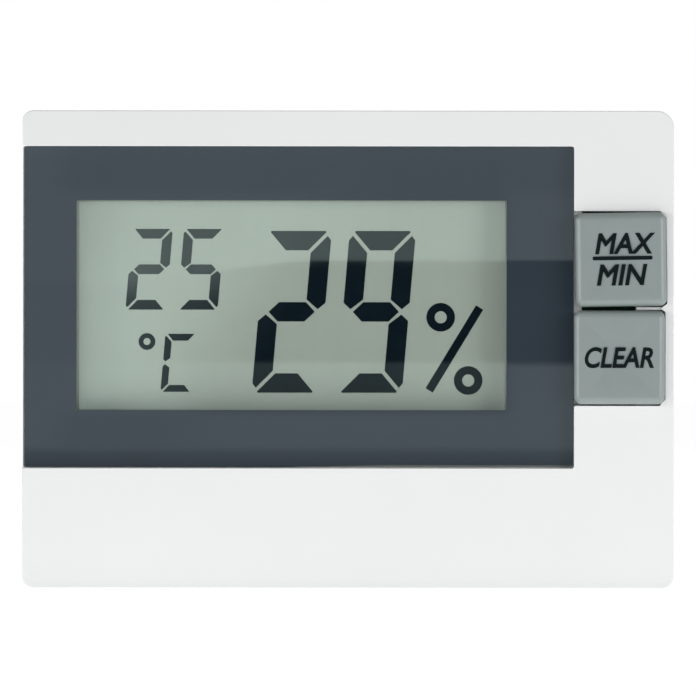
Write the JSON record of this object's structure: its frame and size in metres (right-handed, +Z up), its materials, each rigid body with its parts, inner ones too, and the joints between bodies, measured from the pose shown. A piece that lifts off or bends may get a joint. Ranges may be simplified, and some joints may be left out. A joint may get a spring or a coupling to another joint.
{
  "type": "digital thermo-hygrometer",
  "caption": "Small white case with a flush glass display of temperature and humidity, keys beside it, a fold-out stand, a wall keyhole and a sliding cell door behind.",
  "frame": {"origin": "centre of the bottom face of the case, at half the depth of the case without its keys", "axes": "+Z up, the display faces -Y, +X is the viewer's right"},
  "size_m": [0.058, 0.0158, 0.0425],
  "materials": {
    "white_abs": "fine satin moulding",
    "clear_acrylic": "polished",
    "printed_border": "screen print",
    "tape": "double-sided tape",
    "polariser": "film",
    "glass": "polished",
    "crystal": "dark segments",
    "seal": "epoxy",
    "reflector": "diffuse film",
    "black_rubber": "conductive rubber and carbon ink",
    "grey_key": "satin",
    "clear_rubber": "silicone",
    "board": "solder mask",
    "epoxy": "glossy",
    "ceramic": "ceramic",
    "steel": "nickel plated",
    "nylon": "nylon",
    "cell_paste": "pressed powder",
    "sensor_white": "moulded"
  },
  "bodies": {
    "case": {"front_shell": "white_abs", "display_lens": "clear_acrylic", "lens_mask": "printed_border", "lens_tape": "tape", "front_polariser": "polariser", "lcd_front_glass": "glass", "liquid_crystal_layer": "crystal", "lcd_seal": "seal", "lcd_rear_glass": "glass", "rear_reflector": "reflector", "lcd_frame": "white_abs", "zebra_strip": "black_rubber", "max_min_dome": "clear_rubber", "max_min_pad": "black_rubber", "clear_dome": "clear_rubber", "clear_pad": "black_rubber", "circuit_board": "board", "chip_cover": "epoxy", "humidity_sensor": "sensor_white", "thermistor": "epoxy", "capacitor_1": "ceramic", "capacitor_2": "ceramic", "capacitor_3": "ceramic", "resistor_1": "epoxy", "resistor_2": "epoxy", "resistor_3": "epoxy", "resistor_4": "epoxy", "board_screw_1": "steel", "board_screw_2": "steel", "board_screw_3": "steel", "board_screw_4": "steel", "negative_contact": "steel", "positive_contact": "steel", "cell_can": "steel", "cell_seal": "nylon", "cell_cap": "steel", "cell_filling": "cell_paste", "rear_shell": "white_abs", "case_screw_1": "steel", "case_screw_2": "steel", "case_screw_3": "steel", "case_screw_4": "steel"},
    "max_min_key": {"max_min_button": "grey_key", "max_min_pill": "black_rubber"},
    "clear_key": {"clear_button": "grey_key", "clear_pill": "black_rubber"},
    "door": {"battery_door": "white_abs"},
    "stand": {"stand_leg": "white_abs"}
  },
  "joints": [
    {"name": "max_min_press", "type": "slide", "parent": "case", "child": "max_min_key", "axis": [0, 1, 0], "range_m": [0, 0.0006], "stiffness_N_per_m": 800, "deforming": ["max_min_dome"]},
    {"name": "clear_press", "type": "slide", "parent": "case", "child": "clear_key", "axis": [0, 1, 0], "range_m": [0, 0.0006], "stiffness_N_per_m": 800, "deforming": ["clear_dome"]},
    {"name": "door_slide", "type": "slide", "parent": "case", "child": "door", "axis": [1, 0, 0], "range_m": [0, 0.018]},
    {"name": "stand_hinge", "type": "hinge", "parent": "case", "child": "stand", "pos_m": [0, 0.0065, 0.0198], "axis": [1, 0, 0], "range_deg": [0, 40]}
  ]
}
